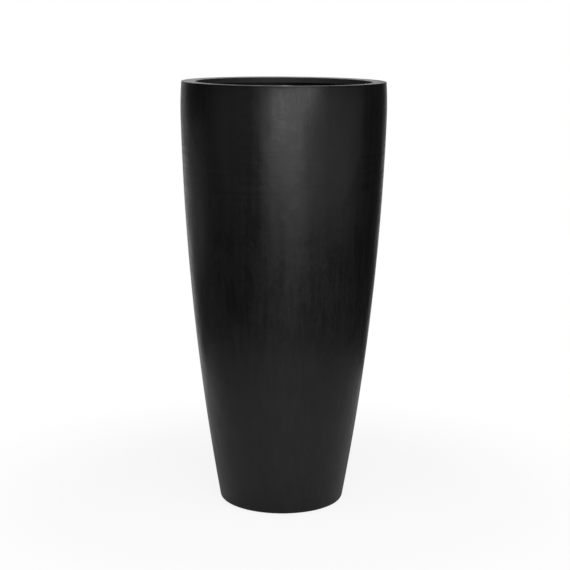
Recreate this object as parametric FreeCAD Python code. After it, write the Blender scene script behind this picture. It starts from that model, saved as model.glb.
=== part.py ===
import FreeCAD, Part
import math
import os

# A tall round planter: a thin moulded wall on a narrow foot, widest just below a flat, turned-in lip.
# Millimetres, +Z up. The origin is on the floor, under the middle of the planter.
# Every section is drawn in the plane of radius (X) and height (Z), and turned about Z.

Vector = FreeCAD.Vector

# Outside of the wall
HEIGHT = 1000.0                 # floor to the top of the lip
BASE_RADIUS = 146.5             # at the foot, before the foot's edge is rounded
BELLY_RADIUS = 239.0            # at the widest place
BELLY_DROP = 65.0               # from the top down to the widest place
SHOULDER_ARC_RADIUS = 950.0     # bend of the wall on both sides of the widest place
SHOULDER_REACH = 25.0           # how far that bend runs on below the widest place

# Wall and foot
WALL = 5.0
FOOT_EDGE_RADIUS = 8.0
FOOT_RING_WIDTH = 30.0          # the wall's turned-in foot, from the outside inward
FOOT_RING_THICKNESS = 5.0
RIM_EDGE_RADIUS = 1.2           # outer edge of the top

# Lip
LIP_WIDTH = 33.0                # from the outer edge of the top to the mouth
LIP_THICKNESS = 5.0
LIP_DEPTH = 15.0                # top of the lip to the end of its down-turned edge
MOUTH_EDGE_RADIUS = 2.0
LIP_END_RADIUS = 1.5
LIP_CORNER_RADIUS = 4.0         # under the lip, where it turns down

# Floor panel and drain hole
PANEL_THICKNESS = 8.0
DRAIN_HOLE_RADIUS = 12.5
DRAIN_EDGE_CHAMFER = 0.6

# Filler coves and the gap that bonded pieces leave at the wall
BASE_COVE = 14.0
RIM_COVE = 10.0
BOND_GAP = 0.2

# Drain plug
PLUG_CLEARANCE = 0.3            # round the stem, in the drain hole
PLUG_FLANGE_RADIUS = 19.0
PLUG_FLANGE_THICKNESS = 3.0
PLUG_STEM_OVERHANG = 2.5        # stem below the underside of the floor panel
PLUG_STEM_TAPER = 2.0           # chamfer at the stem's end
PLUG_EDGE_RADIUS = 1.2
KNOB_RADIUS = 7.0
KNOB_NECK_RADIUS = 4.5
KNOB_NECK_HEIGHT = 4.0
KNOB_THICKNESS = 5.0
KNOB_EDGE_RADIUS = 2.0

# Foot pads
PAD_COUNT = 4
PAD_RADIUS = 7.5
PAD_THICKNESS = 2.5
PAD_MARGIN = 2.0                # foot ring left bare between its inner edge and a pad
PAD_EDGE_RADIUS = 0.6
FIRST_PAD_ANGLE = 45.0

# Levels
foot_level = PAD_THICKNESS
panel_level = foot_level + FOOT_RING_THICKNESS
panel_top = panel_level + PANEL_THICKNESS
lip_seat_level = HEIGHT - LIP_THICKNESS


class Bend:
    """A circular stretch of a section, centred in the plane of radius and height."""

    def __init__(self, centre, radius):
        self.centre = centre
        self.radius = radius

    def inset(self, depth):
        """The same stretch, moved in through the wall."""
        return Bend(self.centre, self.radius - depth)

    def at(self, level):
        """The point of the stretch at a height."""
        rise = level - self.centre.z
        return Vector(self.centre.x + math.sqrt(self.radius ** 2 - rise ** 2), 0, level)

    def edge(self, start, end):
        """The edge along the stretch, from one of its points to another."""
        outward = (start - self.centre) + (end - self.centre)
        outward.normalize()
        return Part.Arc(start, self.centre + outward * self.radius, end).toShape()

    def rounding(self, level, side, radius):
        """The bend that rounds the corner between the stretch and a flat; side is 1 above the flat."""
        return Bend(self.inset(radius).at(level + side * radius), radius)

    def touch(self, rounding):
        """The point where a rounding meets the stretch."""
        outward = rounding.centre - self.centre
        outward.normalize()
        return rounding.centre + outward * rounding.radius


def straight(start, end):
    return Part.LineSegment(start, end).toShape()


def turned(edges):
    """The solid that a closed section sweeps in a full turn about Z."""
    section = Part.Face(Part.Wire(Part.__sortEdges__(edges)))
    return section.revolve(Vector(0, 0, 0), Vector(0, 0, 1), 360)


def turned_outline(corners):
    """The turned solid of a section with straight sides; corners are (radius, height, rounding)."""
    points = [Vector(radius, 0, level) for radius, level, rounding in corners]
    edges = []
    starts = []
    ends = []
    for index, corner in enumerate(corners):
        point = points[index]
        before = points[index - 1] - point
        after = points[(index + 1) % len(points)] - point
        half_angle = before.getAngle(after) / 2
        setback = corner[2] / math.tan(half_angle)
        before.normalize()
        after.normalize()
        starts.append(point + before * setback)
        ends.append(point + after * setback)
        if setback > 0:
            inward = before + after
            inward.normalize()
            middle = point + inward * (corner[2] / math.sin(half_angle) - corner[2])
            edges.append(Part.Arc(starts[-1], middle, ends[-1]).toShape())
    for index, end in enumerate(ends):
        following = starts[(index + 1) % len(starts)]
        if end.distanceToPoint(following) > 1e-6:
            edges.append(straight(end, following))
    return turned(edges)


def wall_bends():
    """The shoulder and body bends of the wall's outside, and the height where they meet."""
    shoulder_centre = Vector(BELLY_RADIUS - SHOULDER_ARC_RADIUS, 0, HEIGHT - BELLY_DROP)
    shoulder = Bend(shoulder_centre, SHOULDER_ARC_RADIUS)
    meeting = shoulder.at(HEIGHT - BELLY_DROP - SHOULDER_REACH)
    outward = meeting - shoulder_centre
    outward.normalize()
    chord = meeting - Vector(BASE_RADIUS, 0, foot_level)
    body_radius = chord.dot(chord) / (2 * chord.dot(outward))
    body = Bend(meeting - outward * body_radius, body_radius)
    return shoulder, body, meeting


shoulder, body, meeting = wall_bends()
rim_radius = shoulder.at(HEIGHT).x
rebate_radius = rim_radius - WALL / 2
mouth_radius = rim_radius - LIP_WIDTH
foot_ring_radius = BASE_RADIUS - FOOT_RING_WIDTH


def outer_shell():
    """The wall, its foot ring below, and the rebate that seats the lip at the top."""
    foot_edge = body.rounding(foot_level, 1, FOOT_EDGE_RADIUS)
    rim_edge = shoulder.rounding(HEIGHT, -1, RIM_EDGE_RADIUS)
    foot_flat_end = Vector(foot_edge.centre.x, 0, foot_level)
    foot_touch = body.touch(foot_edge)
    rim_touch = shoulder.touch(rim_edge)
    top_flat_start = Vector(rim_edge.centre.x, 0, HEIGHT)
    top_flat_end = Vector(rebate_radius, 0, HEIGHT)
    rebate_corner = Vector(rebate_radius, 0, lip_seat_level)

    inner_shoulder = shoulder.inset(WALL)
    inner_body = body.inset(WALL)
    seat_end = inner_shoulder.at(lip_seat_level)
    outward = meeting - body.centre
    outward.normalize()
    inner_meeting = meeting - outward * WALL
    floor_corner = inner_body.at(panel_level)
    ring_top = Vector(foot_ring_radius, 0, panel_level)
    ring_bottom = Vector(foot_ring_radius, 0, foot_level)

    return turned([
        straight(ring_bottom, foot_flat_end),
        foot_edge.edge(foot_flat_end, foot_touch),
        body.edge(foot_touch, meeting),
        shoulder.edge(meeting, rim_touch),
        rim_edge.edge(rim_touch, top_flat_start),
        straight(top_flat_start, top_flat_end),
        straight(top_flat_end, rebate_corner),
        straight(rebate_corner, seat_end),
        inner_shoulder.edge(seat_end, inner_meeting),
        inner_body.edge(inner_meeting, floor_corner),
        straight(floor_corner, ring_top),
        straight(ring_top, ring_bottom),
    ])


def rim_lip():
    """The flat lip, seated in the wall's rebate, with its down-turned edge round the mouth."""
    lip_outer_radius = rebate_radius - BOND_GAP
    lip_end_level = HEIGHT - LIP_DEPTH
    edge_outer_radius = mouth_radius + LIP_THICKNESS
    return turned_outline([
        (mouth_radius, HEIGHT, MOUTH_EDGE_RADIUS),
        (mouth_radius, lip_end_level, LIP_END_RADIUS),
        (edge_outer_radius, lip_end_level, LIP_END_RADIUS),
        (edge_outer_radius, lip_seat_level, LIP_CORNER_RADIUS),
        (lip_outer_radius, lip_seat_level, 0),
        (lip_outer_radius, HEIGHT, 0),
    ])


def base_panel():
    """The floor panel on the foot ring, with the drain hole in its middle."""
    panel_radius = body.inset(WALL).at(panel_level).x - BOND_GAP
    return turned_outline([
        (DRAIN_HOLE_RADIUS, panel_level + DRAIN_EDGE_CHAMFER, 0),
        (DRAIN_HOLE_RADIUS + DRAIN_EDGE_CHAMFER, panel_level, 0),
        (panel_radius, panel_level, 0),
        (panel_radius, panel_top, 0),
        (DRAIN_HOLE_RADIUS + DRAIN_EDGE_CHAMFER, panel_top, 0),
        (DRAIN_HOLE_RADIUS, panel_top - DRAIN_EDGE_CHAMFER, 0),
    ])


def bond_cove(wall, flat_level, far_level):
    """A hollow fillet of filler in the corner between a flat and the inside of the wall."""
    corner = wall.at(flat_level)
    wall_end = wall.at(far_level)
    flat_end = corner - Vector(abs(far_level - flat_level), 0, 0)
    hollow = 1 - math.sqrt(0.5)
    middle = corner + (wall_end - corner) * hollow + (flat_end - corner) * hollow
    return turned([
        straight(flat_end, corner),
        wall.edge(corner, wall_end),
        Part.Arc(wall_end, middle, flat_end).toShape(),
    ])


def drain_plug():
    """The rubber stopper: a stem in the drain hole, a flange on the floor panel and a grip knob."""
    stem_radius = DRAIN_HOLE_RADIUS - PLUG_CLEARANCE
    stem_end = panel_level - PLUG_STEM_OVERHANG
    flange_top = panel_top + PLUG_FLANGE_THICKNESS
    neck_top = flange_top + KNOB_NECK_HEIGHT
    knob_top = neck_top + KNOB_THICKNESS
    return turned_outline([
        (0, stem_end, 0),
        (stem_radius - PLUG_STEM_TAPER, stem_end, 0),
        (stem_radius, stem_end + PLUG_STEM_TAPER, 0),
        (stem_radius, panel_top, 0),
        (PLUG_FLANGE_RADIUS, panel_top, 0),
        (PLUG_FLANGE_RADIUS, flange_top, PLUG_EDGE_RADIUS),
        (KNOB_NECK_RADIUS, flange_top, PLUG_EDGE_RADIUS),
        (KNOB_NECK_RADIUS, neck_top, 0),
        (KNOB_RADIUS, neck_top, 0),
        (KNOB_RADIUS, knob_top, KNOB_EDGE_RADIUS),
        (0, knob_top, 0),
    ])


def foot_pad(index):
    """One round pad under the foot ring, far enough in to stay out of sight."""
    pad = turned_outline([
        (0, 0, 0),
        (PAD_RADIUS, 0, PAD_EDGE_RADIUS),
        (PAD_RADIUS, PAD_THICKNESS, 0),
        (0, PAD_THICKNESS, 0),
    ])
    angle = FIRST_PAD_ANGLE + index * 360.0 / PAD_COUNT
    pad.translate(Vector(foot_ring_radius + PAD_MARGIN + PAD_RADIUS, 0, 0))
    pad.rotate(Vector(0, 0, 0), Vector(0, 0, 1), angle)
    return pad


def main():
    bonded_shoulder = shoulder.inset(WALL + BOND_GAP)
    bonded_body = body.inset(WALL + BOND_GAP)
    pieces = {
        "outer_shell": outer_shell(),
        "rim_lip": rim_lip(),
        "rim_bond": bond_cove(bonded_shoulder, lip_seat_level, lip_seat_level - RIM_COVE),
        "base_panel": base_panel(),
        "base_bond": bond_cove(bonded_body, panel_top, panel_top + BASE_COVE),
        "drain_plug": drain_plug(),
    }
    for index in range(PAD_COUNT):
        pieces["foot_pad_%d" % (index + 1)] = foot_pad(index)

    os.makedirs("parts", exist_ok=True)
    for name, piece in pieces.items():
        piece.exportStep("parts/%s.step" % name)
        print(name, len(piece.Solids), "solid,", round(piece.Volume / 1000, 2), "cm3, valid", piece.isValid())


main()
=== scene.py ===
import math

import bpy
from mathutils import Euler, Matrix, Quaternion, Vector, noise


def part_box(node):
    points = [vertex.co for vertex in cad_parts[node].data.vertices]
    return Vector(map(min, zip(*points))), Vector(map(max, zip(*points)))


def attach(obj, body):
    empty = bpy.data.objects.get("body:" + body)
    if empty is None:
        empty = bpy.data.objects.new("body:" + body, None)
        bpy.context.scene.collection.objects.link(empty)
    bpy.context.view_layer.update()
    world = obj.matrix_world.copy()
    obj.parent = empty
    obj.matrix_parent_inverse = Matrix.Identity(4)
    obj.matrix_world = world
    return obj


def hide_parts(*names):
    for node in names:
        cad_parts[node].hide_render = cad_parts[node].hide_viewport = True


# A tall black planter on a plain pale floor. Metres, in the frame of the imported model, +Z up.
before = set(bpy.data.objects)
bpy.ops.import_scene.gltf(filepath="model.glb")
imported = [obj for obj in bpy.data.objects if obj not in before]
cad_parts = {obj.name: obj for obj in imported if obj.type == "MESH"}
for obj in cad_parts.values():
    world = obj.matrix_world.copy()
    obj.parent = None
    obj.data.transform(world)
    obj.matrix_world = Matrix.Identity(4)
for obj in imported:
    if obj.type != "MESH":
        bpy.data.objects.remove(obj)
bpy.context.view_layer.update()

# Camera
CAMERA_DISTANCE = 3.345         # in front of the planter's axis
CAMERA_SIDE = 0.0056            # to the right of it
CAMERA_HEIGHT = 1.155
CAMERA_TILT = math.radians(10.74)
CAMERA_ROLL = math.radians(0.384)
CAMERA_LENS_MM = 90.70
SENSOR_MM = 36.0

# Outline of the wall and lip, as in the solids
BASE_RADIUS = 0.1465
BELLY_DROP = 0.065
SHOULDER_ARC_RADIUS = 0.950
SHOULDER_REACH = 0.025
WALL = 0.005
FOOT_EDGE_RADIUS = 0.008
FOOT_RING_WIDTH = 0.030
RIM_EDGE_RADIUS = 0.0012
LIP_WIDTH = 0.033
MOUTH_EDGE_RADIUS = 0.002
LIP_END_RADIUS = 0.0015
LIP_CORNER_RADIUS = 0.004

# Floor panel, coves and stopper, as in the solids
BOND_GAP = 0.0002
DRAIN_HOLE_RADIUS = 0.0125
DRAIN_EDGE_CHAMFER = 0.0006
PLUG_CLEARANCE = 0.0003
PLUG_FLANGE_THICKNESS = 0.003
PLUG_STEM_TAPER = 0.002
KNOB_RADIUS = 0.007
KNOB_NECK_RADIUS = 0.0045
KNOB_NECK_HEIGHT = 0.004
KNOB_EDGE_RADIUS = 0.002
RUBBER_EDGE_RADIUS = 0.0010

# Unevenness of the hand-finished surfaces, always into the material: depth and size of the bumps
COAT_DIP = 0.00022
COAT_DIP_SIZE = 0.11
TRIM_DIP = 0.0012               # along the trimmed edge of the mouth
TRIM_DIP_SIZE = 0.028
PROUD_SPOT = (0.004, -0.204)    # a place on the trimmed edge that was left a little higher; the trimmed finish paints it paler there, a painted highlight
PROUD_REACH = 0.010
INNER_DIP = 0.0008
INNER_DIP_SIZE = 0.024
PANEL_DIP = 0.0006
PANEL_DIP_SIZE = 0.035
COVE_DIP = 0.0014
COVE_DIP_SIZE = 0.018

ROLL_ROUGHNESS = 0.9            # how much the finer bumps count, how much finer they get, and how often
ROLL_FINENESS = 2.1
ROLL_OCTAVES = 3

TURN_STEPS = 288                # faces round the planter
PLUG_TURN_STEPS = 96
SMOOTH_ANGLE = math.radians(35)
ON_AXIS = 1e-6                  # a point nearer to the axis than this lies on it

shell_low, shell_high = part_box("outer_shell")
lip_low, lip_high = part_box("rim_lip")
panel_low, panel_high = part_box("base_panel")
base_cove_low, base_cove_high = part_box("base_bond")
rim_cove_low, rim_cove_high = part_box("rim_bond")
plug_low, plug_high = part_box("drain_plug")

height = shell_high.z
foot_level = shell_low.z
lip_seat_level = rim_cove_high.z
lip_thickness = height - lip_seat_level
belly_radius = (shell_high.y - shell_low.y) / 2


# --- Sections -------------------------------------------------------------------------------

class Bend:
    """A circular stretch of a section; a section's points are (radius, height) pairs."""

    def __init__(self, centre, radius):
        self.centre = Vector(centre)
        self.radius = radius

    def inset(self, depth):
        return Bend(self.centre, self.radius - depth)

    def at(self, level):
        rise = level - self.centre.y
        return Vector((self.centre.x + math.sqrt(self.radius ** 2 - rise ** 2), level))

    def rounding(self, level, side, radius):
        """The bend that rounds the corner between the stretch and a flat; side is 1 above the flat."""
        return Bend(self.inset(radius).at(level + side * radius), radius)

    def touch(self, rounding):
        return rounding.centre + (rounding.centre - self.centre).normalized() * rounding.radius

    def points(self, start, end, steps):
        """Points along the shorter way round from start to end, both included."""
        first = math.atan2(start.y - self.centre.y, start.x - self.centre.x)
        turn = math.atan2(end.y - self.centre.y, end.x - self.centre.x) - first
        turn = (turn + math.pi) % (2 * math.pi) - math.pi
        angles = [first + turn * step / steps for step in range(steps + 1)]
        return [self.centre + Vector((math.cos(a), math.sin(a))) * self.radius for a in angles]


def flat(start, end, steps):
    """Points along a straight stretch, closer together near its ends, both included."""
    shares = [(1 - math.cos(math.pi * step / steps)) / 2 for step in range(steps + 1)]
    return [start.lerp(end, share) for share in shares]


def rounded(corners, arc_steps=6, flat_steps=8):
    """Closed section with straight sides; corners are (radius, height, rounding)."""
    points = [Vector(corner[:2]) for corner in corners]
    arcs = []
    for index, corner in enumerate(corners):
        before = points[index - 1] - points[index]
        after = points[(index + 1) % len(points)] - points[index]
        half_angle = before.angle(after) / 2
        setback = corner[2] / math.tan(half_angle)
        inward = (before.normalized() + after.normalized()).normalized()
        centre = points[index] + inward * corner[2] / math.sin(half_angle)
        start = points[index] + before.normalized() * setback
        end = points[index] + after.normalized() * setback
        arcs.append(Bend(centre, corner[2]).points(start, end, arc_steps) if corner[2] else [start])
    section = []
    for index, arc in enumerate(arcs):
        following = arcs[(index + 1) % len(arcs)]
        section += arc + flat(arc[-1], following[0], flat_steps)[1:-1]
    return section


def wall_bends():
    """The shoulder and body bends of the wall's outside, and the point where they meet."""
    shoulder = Bend((belly_radius - SHOULDER_ARC_RADIUS, height - BELLY_DROP), SHOULDER_ARC_RADIUS)
    meeting = shoulder.at(height - BELLY_DROP - SHOULDER_REACH)
    outward = (meeting - shoulder.centre).normalized()
    chord = meeting - Vector((BASE_RADIUS, foot_level))
    body_radius = chord.dot(chord) / (2 * chord.dot(outward))
    return shoulder, Bend(meeting - outward * body_radius, body_radius), meeting


shoulder, body, meeting = wall_bends()
rim_radius = shoulder.at(height).x
rebate_radius = rim_radius - WALL / 2
mouth_radius = rim_radius - LIP_WIDTH
foot_ring_radius = BASE_RADIUS - FOOT_RING_WIDTH


# --- Turned meshes --------------------------------------------------------------------------

def turned(name, stretches, steps=TURN_STEPS):
    """A closed piece made by turning a section about Z. A stretch is its points, up the outside and down
    the inside, its material index, and how far a point of it dips into the material, or None."""
    section = []
    for points, skin, dip in stretches:
        section += [(point, skin, dip) for point in points[:-1]]

    vertices = []
    rings = []
    for index, (point, skin, dip) in enumerate(section):
        along = section[(index + 1) % len(section)][0] - section[index - 1][0]
        outward = Vector((along.y, -along.x)).normalized()
        if point.x < ON_AXIS:
            rings.append([len(vertices)])
            vertices.append((0, 0, point.y))
            continue
        ring = []
        for step in range(steps):
            angle = 2 * math.pi * step / steps
            turn = Vector((math.cos(angle), math.sin(angle), 1))
            spot = Vector((point.x, point.x, point.y)) * turn
            if dip:
                spot -= Vector((outward.x, outward.x, outward.y)) * turn * dip(spot)
            ring.append(len(vertices))
            vertices.append(spot)
        rings.append(ring)

    faces = []
    skins = []
    for index, lower in enumerate(rings):
        upper = rings[(index + 1) % len(rings)]
        if len(lower) == 1 and len(upper) == 1:
            continue
        for step in range(steps):
            here = lower[step % len(lower)]
            beside = lower[(step + 1) % len(lower)]
            above_beside = upper[(step + 1) % len(upper)]
            above = upper[step % len(upper)]
            faces.append(list(dict.fromkeys((here, beside, above_beside, above))))
            skins.append(section[index][1])

    mesh = bpy.data.meshes.new(name)
    mesh.from_pydata(vertices, [], faces)
    mesh.polygons.foreach_set("material_index", skins)
    mesh.shade_smooth()
    mesh.set_sharp_from_angle(angle=SMOOTH_ANGLE)
    piece = bpy.data.objects.new(name, mesh)
    bpy.context.scene.collection.objects.link(piece)
    return piece


def roll(spot, size, seed):
    """Smooth unevenness from 0 to 1, with bumps of about the given size."""
    place = spot / size + Vector((seed, 0, 0))
    value = noise.fractal(place, ROLL_ROUGHNESS, ROLL_FINENESS, ROLL_OCTAVES, noise_basis="PERLIN_ORIGINAL")
    return min(max((1 + value) / 2, 0), 1)


# --- Pieces ---------------------------------------------------------------------------------

# Places of the finishes on the wall (coat, inner) and on the lip (coat, trimmed)
COAT = 0
INNER = 1
TRIMMED = 1


def coat_dip(spot):
    return COAT_DIP * roll(spot, COAT_DIP_SIZE, seed=3.0)


def lip_dip(spot):
    """The lip dips more towards the mouth, where its edge was trimmed by hand, but for the proud spot."""
    nearness = min(max((rim_radius - spot.xy.length) / LIP_WIDTH, 0), 1)
    trim = TRIM_DIP * nearness ** 2 * (2 + roll(spot, TRIM_DIP_SIZE, seed=7.0)) / 3
    proud = math.exp(-((spot.xy - Vector(PROUD_SPOT)).length / PROUD_REACH) ** 2)
    return (coat_dip(spot) + trim) * (1 - proud)


def inner_dip(spot):
    return INNER_DIP * roll(spot, INNER_DIP_SIZE, seed=11.0)


def panel_dip(spot):
    """The floor panel is even where the stopper's flange rests."""
    clear = (spot.xy.length - plug_high.x) / PANEL_DIP_SIZE
    return PANEL_DIP * min(max(clear, 0), 1) * roll(spot, PANEL_DIP_SIZE, seed=17.0)


def cove_dip(spot):
    return COVE_DIP * roll(spot, COVE_DIP_SIZE, seed=23.0)


def make_wall():
    """The moulded wall: coated outside, rough inside, with its foot ring and the lip's rebate."""
    foot_edge = body.rounding(foot_level, 1, FOOT_EDGE_RADIUS)
    rim_edge = shoulder.rounding(height, -1, RIM_EDGE_RADIUS)
    foot_flat_end = Vector((foot_edge.centre.x, foot_level))
    foot_touch = body.touch(foot_edge)
    rim_touch = shoulder.touch(rim_edge)
    top_start = Vector((rim_edge.centre.x, height))
    top_end = Vector((rebate_radius, height))
    rebate_corner = Vector((rebate_radius, lip_seat_level))

    inner_shoulder = shoulder.inset(WALL)
    inner_body = body.inset(WALL)
    seat_end = inner_shoulder.at(lip_seat_level)
    inner_meeting = meeting - (meeting - body.centre).normalized() * WALL
    floor_corner = inner_body.at(panel_low.z)
    ring_top = Vector((foot_ring_radius, panel_low.z))
    ring_bottom = Vector((foot_ring_radius, foot_level))

    return turned("coated_wall", [
        (flat(ring_bottom, foot_flat_end, 6), COAT, None),
        (foot_edge.points(foot_flat_end, foot_touch, 10), COAT, coat_dip),
        (body.points(foot_touch, meeting, 90), COAT, coat_dip),
        (shoulder.points(meeting, rim_touch, 16), COAT, coat_dip),
        (rim_edge.points(rim_touch, top_start, 5), COAT, coat_dip),
        (flat(top_start, top_end, 3), COAT, coat_dip),
        (flat(top_end, rebate_corner, 2), INNER, None),
        (flat(rebate_corner, seat_end, 2), INNER, None),
        (inner_shoulder.points(seat_end, inner_meeting, 16), INNER, inner_dip),
        (inner_body.points(inner_meeting, floor_corner, 150), INNER, inner_dip),
        (flat(floor_corner, ring_top, 3), INNER, None),
        (flat(ring_top, ring_bottom, 2), INNER, None),
    ])


def make_lip():
    """The flat lip, with its down-turned edge round the mouth; the mouth's edge has the trimmed finish."""
    edge_outer_radius = mouth_radius + lip_thickness
    section = rounded([
        (mouth_radius, height, MOUTH_EDGE_RADIUS),
        (mouth_radius, lip_low.z, LIP_END_RADIUS),
        (edge_outer_radius, lip_low.z, LIP_END_RADIUS),
        (edge_outer_radius, lip_seat_level, LIP_CORNER_RADIUS),
        (rebate_radius, lip_seat_level, 0),
        (rebate_radius, height, 0),
    ])
    stretches = []
    for here, after in zip(section, section[1:] + section[:1]):
        trimmed = max(here.x, after.x) < mouth_radius + MOUTH_EDGE_RADIUS / 4
        stretches.append(([here, after], TRIMMED if trimmed else COAT, lip_dip))
    return turned("turned_in_lip", stretches)


def make_floor_panel():
    """The panel bonded on the foot ring, with the drain hole in its middle."""
    panel_radius = body.inset(WALL).at(panel_low.z).x - BOND_GAP
    hole_bottom = Vector((DRAIN_HOLE_RADIUS, panel_low.z + DRAIN_EDGE_CHAMFER))
    hole_top = Vector((DRAIN_HOLE_RADIUS, panel_high.z - DRAIN_EDGE_CHAMFER))
    under_hole = Vector((DRAIN_HOLE_RADIUS + DRAIN_EDGE_CHAMFER, panel_low.z))
    over_hole = Vector((DRAIN_HOLE_RADIUS + DRAIN_EDGE_CHAMFER, panel_high.z))
    under_edge = Vector((panel_radius, panel_low.z))
    over_edge = Vector((panel_radius, panel_high.z))
    return turned("floor_panel", [
        (flat(under_hole, under_edge, 12), 0, None),
        (flat(under_edge, over_edge, 2), 0, None),
        (flat(over_edge, over_hole, 36), 0, panel_dip),
        (flat(over_hole, hole_top, 1), 0, None),
        (flat(hole_top, hole_bottom, 3), 0, None),
        (flat(hole_bottom, under_hole, 1), 0, None),
    ])


def make_cove(name, wall, flat_level, far_level):
    """Filler smoothed by hand into the corner between a flat and the inside of the wall."""
    corner = wall.at(flat_level)
    wall_end = wall.at(far_level)
    flat_end = corner - Vector((abs(far_level - flat_level), 0))
    hollow = Bend((flat_end.x, far_level), abs(far_level - flat_level))
    hollow_end = Vector((corner.x, far_level))
    face = hollow.points(hollow_end, flat_end, 12)
    face[0] = wall_end
    seat = flat(flat_end, corner, 3)
    side = wall.points(corner, wall_end, 3)
    if far_level > flat_level:
        return turned(name, [(seat, 0, None), (side, 0, None), (face, 0, cove_dip)])
    return turned(name, [(face[::-1], 0, cove_dip), (side[::-1], 0, None), (seat[::-1], 0, None)])


def make_stopper():
    """The rubber stopper in the drain hole, with its flange and grip knob."""
    stem_radius = DRAIN_HOLE_RADIUS - PLUG_CLEARANCE
    flange_radius = plug_high.x
    flange_top = panel_high.z + PLUG_FLANGE_THICKNESS
    neck_top = flange_top + KNOB_NECK_HEIGHT
    section = rounded([
        (0, plug_low.z, 0),
        (stem_radius, plug_low.z, PLUG_STEM_TAPER),
        (stem_radius, panel_high.z, 0),
        (flange_radius, panel_high.z, RUBBER_EDGE_RADIUS),
        (flange_radius, flange_top, RUBBER_EDGE_RADIUS),
        (KNOB_NECK_RADIUS, flange_top, RUBBER_EDGE_RADIUS),
        (KNOB_NECK_RADIUS, neck_top, RUBBER_EDGE_RADIUS),
        (KNOB_RADIUS, neck_top, RUBBER_EDGE_RADIUS),
        (KNOB_RADIUS, plug_high.z, KNOB_EDGE_RADIUS),
        (0, plug_high.z, 0),
    ], flat_steps=4)
    return turned("rubber_stopper", [(section + section[:1], 0, None)], PLUG_TURN_STEPS)


def dress(piece, node, body_name, materials):
    """A piece stands for a CAD node, moves with its body and takes its finish."""
    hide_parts(node)
    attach(piece, body_name)
    for material in materials:
        piece.data.materials.append(material)


# --- Materials ------------------------------------------------------------------------------

class Finish:
    """A node material being made. Its methods return sockets, and take sockets or plain values."""

    def __init__(self, name):
        self.material = bpy.data.materials.new(name)
        self.material.use_nodes = True
        self.tree = self.material.node_tree
        self.shader = self.tree.nodes["Principled BSDF"]
        self.place = self.tree.nodes.new("ShaderNodeTexCoord").outputs["Object"]

    def feed(self, socket, value):
        if isinstance(value, bpy.types.NodeSocket):
            self.tree.links.new(value, socket)
        else:
            socket.default_value = value

    def stretched(self, sizes):
        """The place divided by a size along each axis."""
        node = self.tree.nodes.new("ShaderNodeMapping")
        self.feed(node.inputs["Vector"], self.place)
        node.inputs["Scale"].default_value = [1 / size for size in sizes]
        return node.outputs["Vector"]

    def noise(self, sizes, detail=2.0, distortion=0.0, ridges=False):
        """Soft noise, about 0 to 1; sizes are those of its bumps along X, Y and Z."""
        node = self.tree.nodes.new("ShaderNodeTexNoise")
        node.noise_type = "RIDGED_MULTIFRACTAL" if ridges else "FBM"
        node.normalize = not ridges
        self.feed(node.inputs["Vector"], self.stretched(sizes))
        node.inputs["Scale"].default_value = 1.0
        node.inputs["Detail"].default_value = detail
        node.inputs["Distortion"].default_value = distortion
        return node.outputs["Fac"]

    def spots(self, spacing, radius, share):
        """1 in the middle of sparse round spots, 0 outside; share of the cells that hold one."""
        node = self.tree.nodes.new("ShaderNodeTexVoronoi")
        self.feed(node.inputs["Vector"], self.stretched((spacing, spacing, spacing)))
        node.inputs["Scale"].default_value = 1.0
        split = self.tree.nodes.new("ShaderNodeSeparateColor")
        self.tree.links.new(node.outputs["Color"], split.inputs["Color"])
        chosen = self.math("LESS_THAN", split.outputs["Red"], share)
        dot = self.spread(node.outputs["Distance"], radius / spacing, 0.0, 0.0, 1.0)
        return self.math("MULTIPLY", chosen, dot)

    def spot(self, place, radius):
        """1 in the middle of one round spot, 0 outside."""
        node = self.tree.nodes.new("ShaderNodeVectorMath")
        node.operation = "DISTANCE"
        self.feed(node.inputs[0], self.place)
        node.inputs[1].default_value = place
        return self.spread(node.outputs["Value"], radius, 0.0, 0.0, 1.0)

    def math(self, operation, first, second=0.0):
        node = self.tree.nodes.new("ShaderNodeMath")
        node.operation = operation
        self.feed(node.inputs[0], first)
        self.feed(node.inputs[1], second)
        return node.outputs[0]

    def spread(self, value, low, high, new_low, new_high):
        """Maps low..high to new_low..new_high, held at its ends and eased."""
        node = self.tree.nodes.new("ShaderNodeMapRange")
        node.interpolation_type = "SMOOTHSTEP"
        for socket, number in zip(node.inputs[1:5], (low, high, new_low, new_high)):
            self.feed(socket, number)
        self.feed(node.inputs["Value"], value)
        return node.outputs["Result"]

    def total(self, *parts):
        """Sum of (value, weight) parts."""
        result = None
        for value, weight in parts:
            term = self.math("MULTIPLY", value, weight)
            result = self.math("ADD", result, term) if result else term
        return result

    def shade(self, value, dark, pale):
        """A grey between two lightnesses, by a value from 0 to 1."""
        node = self.tree.nodes.new("ShaderNodeMix")
        node.data_type = "RGBA"
        self.feed(node.inputs["Factor"], value)
        node.inputs["A"].default_value = (dark, dark, dark, 1)
        node.inputs["B"].default_value = (pale, pale, pale, 1)
        return node.outputs["Result"]

    def bump(self, tall, depth, under=None):
        """A normal from a height of 0 to 1, over a real depth in metres."""
        node = self.tree.nodes.new("ShaderNodeBump")
        node.inputs["Strength"].default_value = 1.0
        node.inputs["Distance"].default_value = depth
        self.feed(node.inputs["Height"], tall)
        if under:
            self.feed(node.inputs["Normal"], under)
        return node.outputs["Normal"]


def even(size):
    return (size, size, size)


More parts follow.
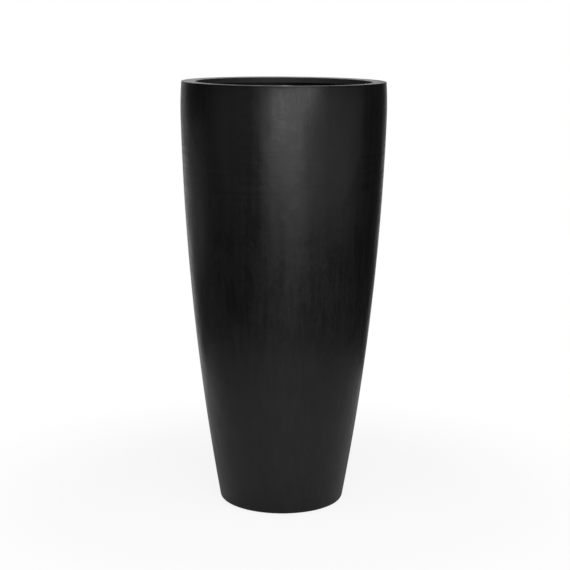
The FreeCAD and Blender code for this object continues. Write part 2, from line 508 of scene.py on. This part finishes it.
COAT_IOR = 1.40
INNER_IOR = 1.50
COAT_SHADES = (0.0022, 0.0052)          # darkest and palest
COAT_ROUGHNESS = (0.32, 0.39)           # where it is darkest and palest
DIMPLE_ROUGHNESS = 0.12                 # more than that, in a dimple
PEEL_DEPTH = 0.000009
WAVE_DEPTH = 0.0012
SCUFF_DEPTH = 0.001
DIMPLE_DEPTH = 0.0006
RUB_LOW = 0.72                          # heights between which the coat was rubbed down once more
RUB_HIGH = 0.89
RUB_EASE = 0.05
PITS = ((-0.101, -0.2154, 0.884), (-0.1497, -0.1663, 0.615))
PIT_RADIUS = 0.0055


def coat_finish():
    """Satin black paint over the sanded laminate: faint clouds, wiping marks, fine peel, a few dimples."""
    finish = Finish("satin_black_coat")
    clouds = finish.noise(even(0.085), detail=3.0)
    blotches = finish.noise(even(0.022), detail=2.0)
    grain = finish.noise(even(0.0065), detail=2.0)
    streaks = finish.noise((0.012, 0.012, 0.42), detail=2.0)
    rubs = finish.noise((0.12, 0.12, 0.0060), detail=3.0, distortion=0.2)
    peel = finish.noise(even(0.0021), detail=1.0)
    waves = finish.noise((0.05, 0.05, 0.09), detail=1.0)

    level = finish.tree.nodes.new("ShaderNodeSeparateXYZ")
    finish.feed(level.inputs["Vector"], finish.place)
    above = finish.spread(level.outputs["Z"], RUB_LOW, RUB_LOW + RUB_EASE, 0.0, 1.0)
    below = finish.spread(level.outputs["Z"], RUB_HIGH - RUB_EASE, RUB_HIGH, 1.0, 0.0)
    band = finish.math("MULTIPLY", above, below)
    rubbed = finish.math("MULTIPLY", band, finish.math("SUBTRACT", rubs, 0.5))

    dimples = finish.spots(spacing=0.11, radius=0.0022, share=0.22)
    for place in PITS:
        dimples = finish.math("MAXIMUM", dimples, finish.spot(place, PIT_RADIUS))

    mottle = finish.total((clouds, 0.25), (blotches, 0.12), (grain, 0.25), (streaks, 0.38), (rubbed, 0.6))
    patchy = finish.spread(mottle, 0.40, 0.60, 0.0, 1.0)
    roughness = finish.spread(patchy, 0.0, 1.0, *COAT_ROUGHNESS)
    dulled = finish.total((roughness, 1.0), (dimples, DIMPLE_ROUGHNESS))
    finish.feed(finish.shader.inputs["Roughness"], dulled)
    finish.feed(finish.shader.inputs["Base Color"], finish.shade(patchy, *COAT_SHADES))

    scuffs = finish.total((rubbed, 0.13), (streaks, 0.13), (blotches, 0.36), (grain, 0.022))
    fine = finish.bump(peel, PEEL_DEPTH)
    wavy = finish.bump(waves, WAVE_DEPTH, under=fine)
    scuffed = finish.bump(scuffs, SCUFF_DEPTH, under=wavy)
    dimpled = finish.bump(dimples, -DIMPLE_DEPTH, under=scuffed)
    finish.feed(finish.shader.inputs["Normal"], dimpled)
    finish.shader.inputs["IOR"].default_value = COAT_IOR
    return finish.material


def inner_finish():
    """Black paint brushed over bare chopped-strand laminate: matted strands under a rough skin."""
    finish = Finish("rough_inner_coat")
    strands = finish.noise((0.004, 0.004, 0.019), detail=3.0, distortion=1.6, ridges=True)
    crossing = finish.noise((0.017, 0.017, 0.0038), detail=3.0, distortion=1.6, ridges=True)
    clouds = finish.noise(even(0.06), detail=3.0)
    pits = finish.spots(spacing=0.012, radius=0.0016, share=0.3)
    mat = finish.total((strands, 0.3), (crossing, 0.3), (clouds, 0.4))
    finish.feed(finish.shader.inputs["Base Color"], finish.shade(clouds, dark=0.007, pale=0.016))
    finish.feed(finish.shader.inputs["Roughness"], finish.spread(mat, 0.2, 0.9, 0.48, 0.72))
    pitted = finish.bump(pits, depth=-0.0004)
    finish.feed(finish.shader.inputs["Normal"], finish.bump(mat, depth=0.00045, under=pitted))
    finish.shader.inputs["IOR"].default_value = INNER_IOR
    return finish.material


def trimmed_finish():
    """The cut and sanded edge of the lip, dull under its thin coat, with a painted highlight at the proud
    spot.
    """
    finish = Finish("trimmed_edge")
    layers = finish.noise((0.03, 0.03, 0.0012), detail=2.0, distortion=0.3)
    scuffs = finish.noise(even(0.008), detail=3.0)
    wear = finish.total((layers, 0.5), (scuffs, 0.5))
    # Painted highlight: a round paler spot that stands in for the light the proud spot catches
    painted_spot_highlight = finish.spot((*PROUD_SPOT, height), PROUD_REACH)
    worn = finish.spread(wear, 0.35, 0.65, 0.0, 1.0)
    # Paleness from random wear, plus the painted highlight at the proud spot
    wear_and_painted_highlight = finish.total((worn, 0.2), (painted_spot_highlight, 0.8))
    finish.feed(finish.shader.inputs["Base Color"], finish.shade(wear_and_painted_highlight, dark=0.022, pale=0.070))
    finish.feed(finish.shader.inputs["Roughness"], finish.spread(wear, 0.3, 0.7, 0.55, 0.7))
    finish.feed(finish.shader.inputs["Normal"], finish.bump(wear, depth=0.0002))
    return finish.material


def filler_finish():
    """Painted filler, drawn round the corner by a rounded tool."""
    finish = Finish("smoothed_filler")
    drags = finish.noise((0.05, 0.05, 0.0016), detail=2.0, distortion=0.4)
    pores = finish.spots(spacing=0.006, radius=0.0007, share=0.35)
    clouds = finish.noise(even(0.03), detail=3.0)
    finish.feed(finish.shader.inputs["Base Color"], finish.shade(clouds, dark=0.010, pale=0.022))
    finish.feed(finish.shader.inputs["Roughness"], finish.spread(drags, 0.3, 0.7, 0.5, 0.68))
    dragged = finish.bump(drags, depth=0.0003)
    finish.feed(finish.shader.inputs["Normal"], finish.bump(pores, depth=-0.0004, under=dragged))
    return finish.material


def rubber_finish():
    """Moulded black rubber with a fine matt grain and a little dust."""
    finish = Finish("black_rubber")
    grain = finish.noise(even(0.0006), detail=2.0)
    dust = finish.noise(even(0.009), detail=4.0)
    dusty = finish.spread(dust, 0.45, 0.7, 0.0, 1.0)
    finish.feed(finish.shader.inputs["Base Color"], finish.shade(dusty, dark=0.012, pale=0.028))
    finish.feed(finish.shader.inputs["Roughness"], finish.spread(dust, 0.3, 0.7, 0.62, 0.8))
    finish.feed(finish.shader.inputs["Normal"], finish.bump(grain, depth=0.00004))
    return finish.material


coat = coat_finish()
inner = inner_finish()
trimmed = trimmed_finish()
filler = filler_finish()
rubber = rubber_finish()

bonded_shoulder = shoulder.inset(WALL + BOND_GAP)
bonded_body = body.inset(WALL + BOND_GAP)
rim_cove = make_cove("rim_filler", bonded_shoulder, rim_cove_high.z, rim_cove_low.z)
base_cove = make_cove("floor_filler", bonded_body, base_cove_low.z, base_cove_high.z)
dress(make_wall(), "outer_shell", "planter", [coat, inner])
dress(make_lip(), "rim_lip", "planter", [coat, trimmed])
dress(rim_cove, "rim_bond", "planter", [filler])
dress(make_floor_panel(), "base_panel", "planter", [inner])
dress(base_cove, "base_bond", "planter", [filler])
dress(make_stopper(), "drain_plug", "plug", [rubber])
for node_name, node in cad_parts.items():
    if node_name.startswith("foot_pad"):
        node.data.materials.clear()
        node.data.materials.append(rubber)


# --- Studio ---------------------------------------------------------------------------------

# Upright lamp panels that face the axis: degrees turned to the right from the camera's side, distance from
# the axis, level, width, height, brightness
LAMPS = {
    "middle_softbox": (-4, 2.4, 0.85, 1.15, 0.30, 10.8),
    "high_softbox": (22, 2.4, 1.15, 1.10, 0.30, 9.2),
    "lower_softbox": (14, 2.4, 0.52, 0.60, 0.30, 5.0),
    "low_strip": (10, 2.4, 0.27, 3.00, 0.30, 1.5),
    "low_right_strip": (56, 2.4, 0.35, 1.60, 0.30, 0.9),
    "right_fill": (64, 2.4, 0.70, 2.40, 1.00, 0.50),
    "left_fill": (-56, 2.4, 0.70, 2.00, 1.00, 0.32),
    "far_left_fill": (-112, 2.4, 0.30, 2.00, 0.60, 0.32),
    "back_softbox": (-168, 2.4, 1.85, 1.80, 0.60, 1.3),
}
TOP_LAMP_LEVEL = 2.9
TOP_LAMP_SIDE = 1.5
TOP_LAMP_FORWARD = 0.7
TOP_LAMP_BRIGHTNESS = 5.6

AMBIENT = 0.04
BACKDROP_TURN = math.radians(-6)        # its middle, turned to the left behind the planter
BACKDROP_EDGE = math.radians(21)        # half of its spread, to where it starts to fade
BACKDROP_FADE = math.radians(18)
BACKDROP_LOW = 0.95                     # brightness of its lower part, which lies on the floor
BACKDROP_HIGH = 0.60                    # and of its upright part
BACKDROP_BEND = math.radians(-4.5)      # elevation of the bend between them
BEND_BLEND = math.radians(1.5)

FLOOR_STEPS = 128
FLOOR_RADIUS = 1.08                     # beyond it, only the white surroundings show
FLOOR_COLOUR = 0.9
FIBRE_CONTRAST = 0.01
FIBRE_SIZE = 0.02
SHADOW_SHARE = 0.11                     # share of the floor's own shading that the camera sees
SHADOW_NEAR = 0.40                      # distances between which that share falls to nothing
SHADOW_FAR = 1.00
GLOSS_WHITE_FRONT = 0.03                # how white gloss shows the floor before and behind the planter
GLOSS_WHITE_BACK = 0.62
GLOSS_BACK_START = 0.1
GLOSS_BACK_END = 1.1
GLOSS_TURN = math.radians(-18)          # to the left behind the planter


def make_camera():
    data = bpy.data.cameras.new("camera")
    data.lens = CAMERA_LENS_MM
    data.sensor_width = SENSOR_MM
    camera = bpy.data.objects.new("camera", data)
    bpy.context.scene.collection.objects.link(camera)
    camera.location = (CAMERA_SIDE, -CAMERA_DISTANCE, CAMERA_HEIGHT)
    tilt = Euler((math.pi / 2 - CAMERA_TILT, 0, 0)).to_quaternion()
    camera.rotation_mode = "QUATERNION"
    camera.rotation_quaternion = tilt @ Quaternion((0, 0, 1), CAMERA_ROLL)
    bpy.context.scene.camera = camera


def panel_lamp(name, width, tall, brightness):
    """A rectangular lamp of even brightness; 1 shows as white."""
    data = bpy.data.lights.new(name, "AREA")
    data.shape = "RECTANGLE"
    data.size = width
    data.size_y = tall
    data.energy = brightness * width * tall * math.pi
    lamp = bpy.data.objects.new(name, data)
    lamp.visible_camera = False
    bpy.context.scene.collection.objects.link(lamp)
    return lamp


def make_lamps():
    for name, (turn, distance, level, width, tall, brightness) in LAMPS.items():
        lamp = panel_lamp(name, width, tall, brightness)
        angle = math.radians(turn)
        lamp.location = (distance * math.sin(angle), -distance * math.cos(angle), level)
        lamp.rotation_euler = (math.pi / 2, 0, angle)
    top = panel_lamp("top_softbox", TOP_LAMP_SIDE, TOP_LAMP_SIDE, TOP_LAMP_BRIGHTNESS)
    top.location = (0, -TOP_LAMP_FORWARD, TOP_LAMP_LEVEL)
    from_middle = Vector((0, -TOP_LAMP_FORWARD, TOP_LAMP_LEVEL - height / 2))
    top.rotation_euler = from_middle.to_track_quat("Z", "Y").to_euler()


def make_world():
    """White for the camera, and for gloss that faces the backdrop; elsewhere a dim, even light."""
    world = bpy.data.worlds.new("studio")
    bpy.context.scene.world = world
    world.use_nodes = True
    tree = world.node_tree
    back = tree.nodes["Background"]
    back.inputs["Color"].default_value = (1, 1, 1, 1)

    towards = tree.nodes.new("ShaderNodeTexCoord").outputs["Generated"]
    facing = tree.nodes.new("ShaderNodeVectorMath")
    facing.operation = "DOT_PRODUCT"
    tree.links.new(towards, facing.inputs[0])
    facing.inputs[1].default_value = (math.sin(BACKDROP_TURN), math.cos(BACKDROP_TURN), 0)
    backdrop = tree.nodes.new("ShaderNodeMapRange")
    backdrop.interpolation_type = "SMOOTHSTEP"
    backdrop.inputs["From Min"].default_value = math.cos(BACKDROP_EDGE + BACKDROP_FADE)
    backdrop.inputs["From Max"].default_value = math.cos(BACKDROP_EDGE)
    tree.links.new(facing.outputs["Value"], backdrop.inputs["Value"])

    split = tree.nodes.new("ShaderNodeSeparateXYZ")
    tree.links.new(towards, split.inputs["Vector"])
    bend = tree.nodes.new("ShaderNodeMapRange")
    bend.inputs["From Min"].default_value = math.sin(BACKDROP_BEND - BEND_BLEND)
    bend.inputs["From Max"].default_value = math.sin(BACKDROP_BEND + BEND_BLEND)
    bend.inputs["To Min"].default_value = BACKDROP_LOW
    bend.inputs["To Max"].default_value = BACKDROP_HIGH
    tree.links.new(split.outputs["Z"], bend.inputs["Value"])

    path = tree.nodes.new("ShaderNodeLightPath")

    def combine(operation, first, second):
        node = tree.nodes.new("ShaderNodeMath")
        node.operation = operation
        tree.links.new(first, node.inputs[0])
        if isinstance(second, float):
            node.inputs[1].default_value = second
        else:
            tree.links.new(second, node.inputs[1])
        return node.outputs[0]

    drop = combine("MULTIPLY", backdrop.outputs["Result"], bend.outputs["Result"])
    glossy = combine("MULTIPLY", path.outputs["Is Glossy Ray"], drop)
    seen = combine("MAXIMUM", path.outputs["Is Camera Ray"], path.outputs["Is Transmission Ray"])
    strength = combine("MAXIMUM", combine("MAXIMUM", seen, glossy), AMBIENT)
    tree.links.new(strength, back.inputs["Strength"])


def make_floor():
    """A round pale floor. The camera sees it fade to white, and keeps part of the planter's shadow."""
    mesh = bpy.data.meshes.new("pale_floor")
    angles = [2 * math.pi * step / FLOOR_STEPS for step in range(FLOOR_STEPS)]
    edge = [(FLOOR_RADIUS * math.cos(angle), FLOOR_RADIUS * math.sin(angle), 0) for angle in angles]
    mesh.from_pydata(edge, [], [list(range(FLOOR_STEPS))])
    floor = bpy.data.objects.new("pale_floor", mesh)
    bpy.context.scene.collection.objects.link(floor)

    finish = Finish("white_paper")
    tree = finish.tree
    fibre = finish.noise(even(FIBRE_SIZE), detail=4.0)
    paper = finish.shade(fibre, FLOOR_COLOUR - FIBRE_CONTRAST, FLOOR_COLOUR)
    finish.feed(finish.shader.inputs["Base Color"], paper)
    finish.shader.inputs["Roughness"].default_value = 1.0
    finish.shader.inputs["Specular IOR Level"].default_value = 0.0

    away = tree.nodes.new("ShaderNodeVectorMath")
    away.operation = "LENGTH"
    tree.links.new(finish.place, away.inputs[0])
    distance = away.outputs["Value"]
    path = tree.nodes.new("ShaderNodeLightPath").outputs
    seen_white = finish.spread(distance, SHADOW_NEAR, SHADOW_FAR, 1 - SHADOW_SHARE, 1.0)
    behind = tree.nodes.new("ShaderNodeVectorMath")
    behind.operation = "DOT_PRODUCT"
    tree.links.new(finish.place, behind.inputs[0])
    behind.inputs[1].default_value = (math.sin(GLOSS_TURN), math.cos(GLOSS_TURN), 0)
    gloss_white = finish.spread(behind.outputs["Value"], GLOSS_BACK_START, GLOSS_BACK_END,
                                GLOSS_WHITE_FRONT, GLOSS_WHITE_BACK)
    whiteness = finish.total((path["Is Camera Ray"], seen_white), (path["Is Glossy Ray"], gloss_white))
    white = tree.nodes.new("ShaderNodeEmission")
    surface = tree.nodes.new("ShaderNodeMixShader")
    tree.links.new(whiteness, surface.inputs["Fac"])
    tree.links.new(finish.shader.outputs["BSDF"], surface.inputs[1])
    tree.links.new(white.outputs["Emission"], surface.inputs[2])
    tree.links.new(surface.outputs["Shader"], tree.nodes["Material Output"].inputs["Surface"])
    floor.data.materials.append(finish.material)


make_camera()
make_world()
make_floor()
make_lamps()

bpy.context.scene.view_settings.view_transform = "Standard"
